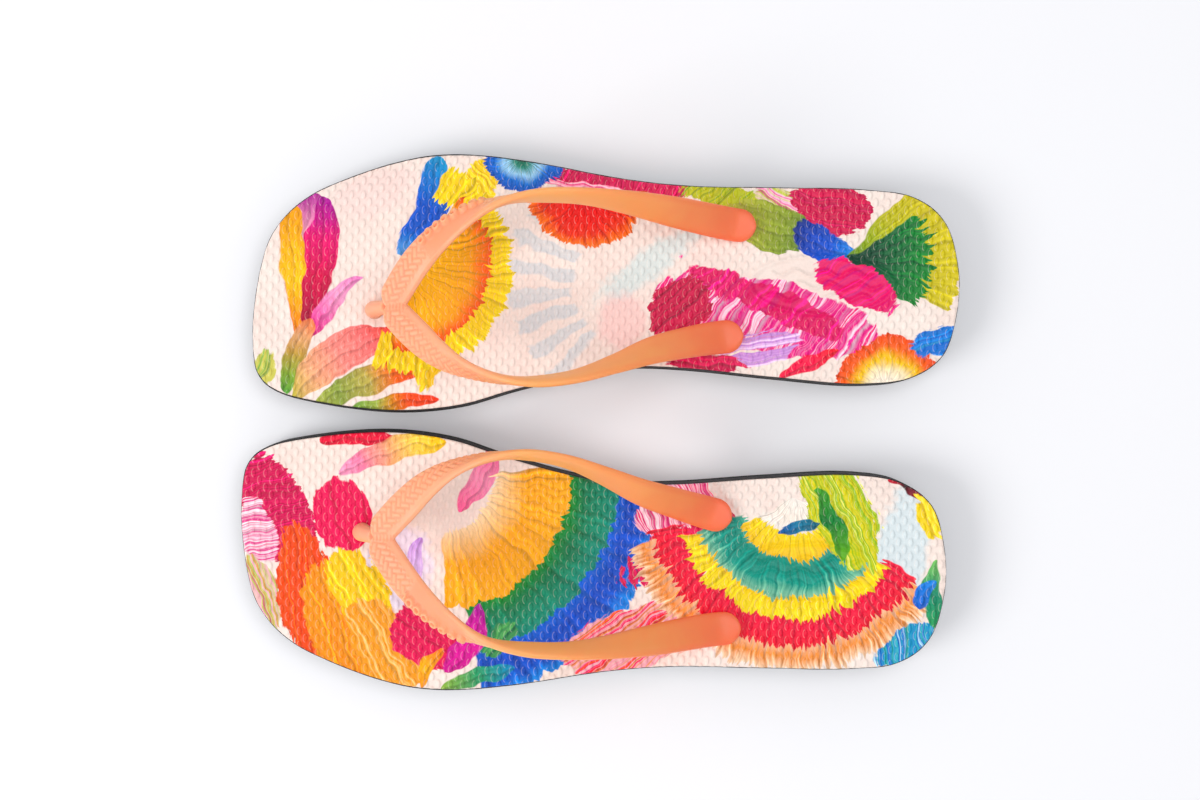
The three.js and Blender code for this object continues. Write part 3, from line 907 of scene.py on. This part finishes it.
def paintRight(ink):
    # pale washes and loose feather strokes, under all the rest
    ink.wash((-85, 31.5), 25, (17, 8), "FBDDD6", 0.75)
    ink.wash((-98.5, 17), 60, (9, 13), "FBE6DC", 0.6)
    ink.strokes((12.5, 0), 184, 92, 24, 47, ("E4E4E2", "D6D9DC", "EAE6E2"), 12)
    ink.wash((6, -12), 80, (11, 8), "FCD2CC", 0.9)
    ink.wash((17, 8.5), 35, (22, 5), "D8E8E6", 0.8)
    # toe: a tall crimson petal and slim leaves
    ink.petal((-108, 31), (-110, -27.5), 21, 0,
              ("B03A98", "F4A6BE", "FCE3DC", "F9B8C0", "F06A78", "E02848"), skew=0.55)
    ink.petal((-114, 27), (-110.5, -26), 10, -1,
              ("E89A3A", "FFB428", "FFC83C", "F9A03A", "E8603A"), skew=0.6)
    ink.petal((-102.5, 29.5), (-109.5, -27.5), 12.5, 1.5,
              ("A82A96", "E81870", "D80A4C", "B20A3C", "CC1440"), skew=0.55)
    ink.petal((-108, -21.5), (-88.5, 2), 6, 2.2, ("D82870", "F078B0", "F4A8CC", "E080BC"), full=0.8)
    ink.patch((-124.5, -33.5), 70, (9, 4), ("8DB05A", "D9D070", "5E9A4C"), by="streak")
    ink.petal((-106.5, -14), (-117, -42), 8, -1,
              ("F88A6A", "E0A87E", "BE9A55", "86A345", "5A9A48"), full=0.6)
    ink.petal((-114, -43.5), (-73.5, -18.5), 14, 5,
              ("B7B04E", "F4B48E", "FA9C94", "FA8888", "F25A4E"), full=0.6)
    ink.petal((-104.5, -46), (-66, -31.5), 10, 3,
              ("A9B05A", "8C9E4E", "B7A85C", "F08058", "F4503C"), full=0.6)
    ink.petal((-93, -47.5), (-60, -42.5), 6, 1, ("6EA050", "9AAA52", "F0603E", "EE4030"), full=0.6)
    # blue feather and the yellow fans beside the toe post
    ink.petal((-61.5, 46), (-74.5, 9.5), 12, 4,
              ("3A9AC8", "2A78D0", "2058C8", "2460D0", "7AB4F0"), full=0.5, bite=3)
    ink.patch((-48, 31), 70, (14, 7), ("FFD61C", "F2C024", "FFE870", "F6CE2C"), by="streak", turn=70)
    ink.patch((-64, -29.5), 75, (10, 5), ("F8D828", "F2C024", "FFE870"), by="streak")
    ink.fan((-73, 6.5), -20, 176, 26, 39, ("FCDC38", "F8D41E", "F6CE1C", "FCE048"), bite=5, count=13)
    ink.fan((-73, 6.5), -24, 150, 0, 31,
            ("FFC828", "FFC21E", "FFBE1A", "FFB81A", "FFAA20", "F8501E"), bite=5, count=11)
    # blue half fan, crimson strip and red half disc along the outer edge
    ink.patch((6, 38), -4, (28, 7), ("D80F52", "EE1F63", "B00A40", "F23A78"), by="streak", turn=70)
    ink.patch((-2, 33.5), -8, (20, 2.5), ("F8B6C8", "F46C9A", "FCD8E0"), by="streak", bite=2)
    ink.fan((-30.5, 46.5), -90, 180, 0, 14,
            ("185A38", "3E8A7A", "A4D2F0", "2A70D0", "2258C0"), bite=2, count=10)
    ink.fan((-7.5, 34.5), -90, 178, 0, 21,
            ("8E0A3A", "C8122C", "F01E20", "F02A24", "EE3A24", "FF7A28"), bite=3, count=9)
    # green and blue diagonal feather with its crimson neighbour
    ink.patch((42, 32.5), -10, (15, 4.5), ("9AB03A", "CCD04C", "6E9434"), by="streak", turn=60)
    ink.patch((62.5, 30.5), -30, (11, 5), ("F05AA4", "CCDA5A", "FAC6DC", "E02A7C"), by="streak")
    ink.patch((81.5, 29.5), -8, (14.5, 10), ("D80A4A", "EE1858", "B00840", "E01460"), by="streak", bite=4)
    ink.patch((58, 22), -17, (17, 8.5), ("C8C45A", "A4AC4A", "8A9C42", "587A38"), bite=2)
    ink.patch((78, 16), -24, (12, 6.5), ("1A2C78", "1C48B8", "2058CC", "4A90DC"), bite=2)
    ink.fan((87, 11), 12, 78, 0, 42, ("5A8A38", "9CAE3A", "BCB83C", "CCBE40", "DCCB50"), bite=3, count=11)
    ink.fan((87, 11), -2, 68, 0, 30, ("0A3A2A", "0E4A30", "1A6A3A", "2E8A3E"), bite=13, count=10)
    # striped feather under the heel
    pinks = ("FBC6DC", "F68AB8", "F0408E", "FDE3EE", "E0186E")
    ink.patch((58, -10), -12, (41, 13), pinks, by="streak", turn=70, rate=0.36)
    ink.patch((59, -5), -22, (31, 5.5), ("F0107C", "E00A5C", "F8489C"), by="streak", turn=70, rate=0.4)
    ink.patch((27, -8), 38, (13, 10), ("B0083E", "D8124E", "90082E"), by="streak", bite=4)
    ink.patch((91.5, 1), -26, (16, 7.5), ("F41A8C", "F00C78", "E81058", "F03A98"), by="streak", turn=60)
    ink.patch((56, -22), 12, (15, 6), ("DDB6E4", "D096DC", "F4DCF0"), by="streak", gaps=0.42)
    ink.patch((35, -27.5), -6, (15, 4), ("C00A44", "E01C5C"), by="streak")
    ink.petal((64, -33.5), (85, -22), 5.5, 1, ("EE1844", "F8405E", "F43A40"), full=0.6)
    ink.fan((103, -36), 92, 196, 0, 19,
            ("FFF3E4", "FFF1DC", "FFEBC0", "FCC63A", "F8682E", "F0502A"), bite=2, count=6)
    ink.patch((119.5, -18.5), 20, (9, 5.5), ("5FB0EA", "1A6CD0", "3C96E0"), by="streak")


def paintLeft(ink):
    # pale washes, under all the rest
    ink.wash((-90, 34.5), 10, (26, 8), "FBE3D8", 0.6)
    ink.wash((-71.5, -3), 60, (16, 12), "EADDF4", 0.8)
    ink.wash((111.5, 4), 80, (28, 9), "D5E8EE", 0.8)
    ink.wash((108, -14.5), 60, (12, 6), "BFE0E4", 0.7)
    # toe: crimson leaf and blob over a coral, orange and yellow mass
    ink.patch((-115, 17), -62, (25, 11.5),
              ("D80F52", "F02868", "B80A40", "F04A80"), by="streak", bite=4, turn=80)
    ink.patch((-122, 10.5), -72, (12, 6), ("FAD3DF", "F0589A", "FDE9EE", "E82A70"), by="streak", turn=80)
    ink.patch((-120, -12), -70, (14, 6), ("F05CA0", "CCDC68", "F8B8CC", "A8C04A", "F03A7C"), by="streak")
    ink.patch((-104, -11.5), -80, (24, 11), ("F2482E", "F6683C", "F04A34", "FA8250"), by="streak", bite=4)
    ink.patch((-91.5, -22.5), -70, (22, 12), ("FA922C", "FCA83C", "F8822E", "FCBA4A"), by="streak", bite=4)
    ink.patch((-84.5, -10), -60, (16, 10), ("FFDA2A", "FCC82C", "FFE86A"), by="streak", bite=4)
    ink.patch((-75.5, -30.5), -60, (19, 11), ("FCB96A", "FAA858", "FCCE90"), by="streak")
    ink.patch((-91.5, 16.5), -75, (13, 10.5), ("E8104C", "F42A62", "C80A44"), by="streak", bite=2)
    ink.petal((-100.5, 43.5), (-72.5, 45), 5, 1, ("E0183C", "F0304A", "D01438"), full=0.5)
    ink.petal((-93, 30.5), (-54.5, 44), 10, 3, ("FAA8C8", "F890B0", "FAB488", "FCD870", "FAC84A"), full=0.6)
    ink.petal((-49, 18.5), (-35.5, 45), 8, -2, ("F878A4", "FAA0C0", "F05A90"), full=0.6)
    ink.petal((-65.5, -12.5), (-62.5, 9.5), 7, 1, ("CFA8E4", "DEC0F0", "BC90D8"), full=0.6)
    # banded fan
    ink.fan((-55.5, 30), -36, 84, 58, 81,
            ("2A8AD0", "1E66D8", "184CC0", "2058CC", "4A92E4"), bite=5, count=14)
    ink.fan((-55.5, 30), -36, 86, 42, 64,
            ("2E7A34", "2E8A3C", "1E7A50", "2A8A6C", "2C8A7A"), bite=5, count=12)
    ink.fan((-55.5, 30), -40, 94, 19, 47,
            ("FCE0B8", "FCC888", "FAAE4A", "FCB24A", "FAB450"), bite=4, count=11)
    ink.patch((-33.5, -28), 50, (8, 4), ("2E7A58", "5FA860"), by="streak", bite=2)
    # crimson and magenta scallops by the outer strap
    ink.patch((-59.5, -27), -35, (14.5, 11), ("E01450", "F0245E", "B80A44"), by="streak")
    ink.petal((-52.5, -40.5), (-40, -15), 10, -2, ("C81C8C", "E83AA4", "9E2C96"), full=0.6)
    ink.petal((-62.5, -46.5), (-53, -32), 6, 2, ("F8922E", "FCB84A", "F07A34"), full=0.7)
    ink.petal((-54, -46.5), (-26.5, -38), 6, 1, ("8DB04A", "3E9A6C", "2A88C0"), full=0.6)
    # pink strokes and a crimson scalloped band across the arch
    ink.patch((29, 21), 35, (15, 9), ("FAB8CC", "F0488C", "FDE6EC", "E8246C"), by="streak", turn=80)
    ink.patch((33.5, 5.5), 24, (24, 8.5), ("D80F52", "EE1F63", "B80A40"), by="streak", bite=4, turn=80)
    ink.patch((16, -26), 18, (29, 11),
              ("F4507C", "FAA25C", "FAC0CC", "F0306A", "FC8A43"), by="streak", turn=20)
    # heel fan
    ink.fan((72.5, 25), -98, 128, 47, 62, ("F8B070", "FAC4A4", "F49C60", "FAD8B8"), bite=7, count=24)
    ink.fan((72.5, 25), -99, 134, 40, 53, ("E8123C", "F42044", "F03A48"), bite=6, count=20)
    ink.fan((72.5, 25), -98, 126, 33, 43, ("F8B82C", "FCDA34", "FCE458"), bite=5, count=16)
    ink.fan((72.5, 25), -100, 124, 19, 36, ("5AAE98", "1E8A78", "2E9C8A", "8AC4A4"), bite=6, count=15)
    ink.fan((72.5, 25), -90, 130, 10, 22, ("FAE47A", "FCD634", "F8C42C"), bite=5, count=12)
    ink.fan((72.5, 25), -84, 150, 0, 13, ("FBF4EC", "F8ECE0", "FBF0E8"), bite=4, count=8)
    ink.patch((89, 22.5), -62, (25, 11), ("CCD43A", "F0E24A", "8CB43A", "F6E880"), by="streak", bite=5)
    ink.petal((66.5, 11.5), (83.5, 17), 5, 1, ("1C4C9C", "2A7A9C", "1A5A6C"), full=0.8, bite=2)
    ink.petal((80, 29.5), (90.5, 3.5), 6, 2, ("4E9A3C", "1E7A3A", "6AAA3C"), full=0.6, bite=2)
    ink.petal((105, 33.5), (121, 25.5), 5, 1.5, ("F0203C", "2A1A20", "D0183A"), full=0.5)
    ink.patch((121, 20), -60, (8, 4), ("FAD03A", "FCE66A"), by="streak", bite=2)
    ink.petal((124, -21.5), (125, 4), 7, 2, ("3E9A5C", "2A8A6C", "7ABE6A"), full=0.6)
    ink.petal((117, -13), (125, -3.5), 5, 1, ("1A5AC8", "2A8AE0"), full=0.6)
    ink.patch((113.5, -27), 30, (12, 6), ("2A9A94", "5AC0D0", "1A6AC0", "BFE4EA"), by="streak", turn=70)


def printedSheet(side, foot):
    finish = Finish(side + "_printed_rubber")
    ink = PrintInk(finish, foot)
    if side == "right":
        paintRight(ink)
    else:
        paintLeft(ink)
    dry = finish.noise(finish.place(foot), scale=1.1, detail=4, roughness=0.65)
    bare = finish.maths("MULTIPLY_ADD", dry, 2.0, -0.9, clamp=True)
    tops, paintedLight = grainTops(finish, foot)
    # the dry-brush speckle of the print and the painted highlight on each grain lighten the ink towards
    # cream
    dryInkAndHighlight = finish.mix(bare * 0.05 + paintedLight * 0.25, ink.colour, paint("FFF0E4"))
    # the dry noise varies the print's tone; painted shade: the grain tops are painted a little lighter than
    # the ground between them
    value = finish.maths("MULTIPLY_ADD", dry, 0.2, 0.88) + tops * 0.06
    finish.set("Base Color", finish.add("HueSaturation", None, {"Value": value, "Color": dryInkAndHighlight}))
    finish.surface.inputs["Specular IOR Level"].default_value = 0.25
    fine = finish.noise(finish.place(foot), scale=4, detail=3)
    finish.set("Roughness", 0.32 + 0.12 * fine)
    finish.bump(tops + 0.12 * fine, 0.16)
    return finish.material


foam = blackRubber("black_foam_rubber", ("131113", "262325"), 0.35)
rubber = blackRubber("black_outsole_rubber", ("0E0D0E", "1D1B1D"), 0.8)


def finishPiece(piece, material, body, node):
    piece.data.materials.clear()
    piece.data.materials.append(material)
    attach(piece, body)
    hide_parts(node)
    print(piece.name, len(piece.data.vertices), "points")


for side, foot in sandals.items():
    body = side + "_sandal"
    printed = printedSheet(side, foot)
    finishPiece(makeFootbed(side, foot), printed, body, side + "_printed_footbed")
    finishPiece(makeCore(side, foot), foam, body, side + "_foam_core")
    finishPiece(makeOutsole(side, foot), rubber, body, side + "_outsole")
    finishPiece(makeStrap(side, foot), strapPlastic(side, foot), body, side + "_strap")


studio = {
    "camera": (0.26, 8.0, 620.0),
    "floorSize": 40,  # in metres, as are the lights' places and sizes
    "key": {"place": (-0.95, -0.4, 0.85), "size": 0.7, "watts": 8, "colour": (1, 0.99, 0.98)},
    "top": {"place": (0.3, 0.15, 1.5), "size": 1.2, "watts": 9, "colour": (0.98, 0.99, 1)},
    "skyStrength": 0.86,
    "skyTop": (0.33, 0.335, 0.35, 1),
}


def addFloor():
    bpy.ops.object.select_all(action="DESELECT")
    bpy.ops.mesh.primitive_plane_add(size=studio["floorSize"], location=(0, 0, -0.2 * mm))
    floor = bpy.context.object
    floor.name = "studio_floor"
    finish = Finish("white_paper")
    finish.set("Base Color", paint("FAFAFD"))
    finish.set("Roughness", 0.9)
    floor.data.materials.append(finish.material)


def addSoftLight(name):
    # a disc that faces the sandals
    values = studio[name]
    light = bpy.data.lights.new(name, "AREA")
    light.shape = "DISK"
    light.size = values["size"]
    light.energy = values["watts"]
    light.color = values["colour"]
    lamp = bpy.data.objects.new(name, light)
    bpy.context.scene.collection.objects.link(lamp)
    x, y, z = lamp.location = values["place"]
    lamp.rotation_euler = (math.atan2(math.hypot(x, y), z), 0, math.atan2(x, -y))


def addSky():
    world = bpy.data.worlds.new("studio")
    bpy.context.scene.world = world
    sky = Finish("studio", world)
    height = sky.split(sky.add("TexCoord"))[2]
    sky.set("Color", sky.ramp(height, [(0.0, (1, 1, 1, 1)), (1.0, studio["skyTop"])]))
    sky.set("Strength", studio["skyStrength"])


def addCamera():
    camera = bpy.data.objects.new("camera", bpy.data.cameras.new("camera"))
    bpy.context.scene.collection.objects.link(camera)
    camera.location = [value * mm for value in studio["camera"]]
    camera.data.lens = 50
    camera.data.sensor_width = 36
    bpy.context.scene.camera = camera


addFloor()
addSoftLight("key")
addSoftLight("top")
addSky()
addCamera()
bpy.context.scene.view_settings.view_transform = "Standard"
print("studio ready")
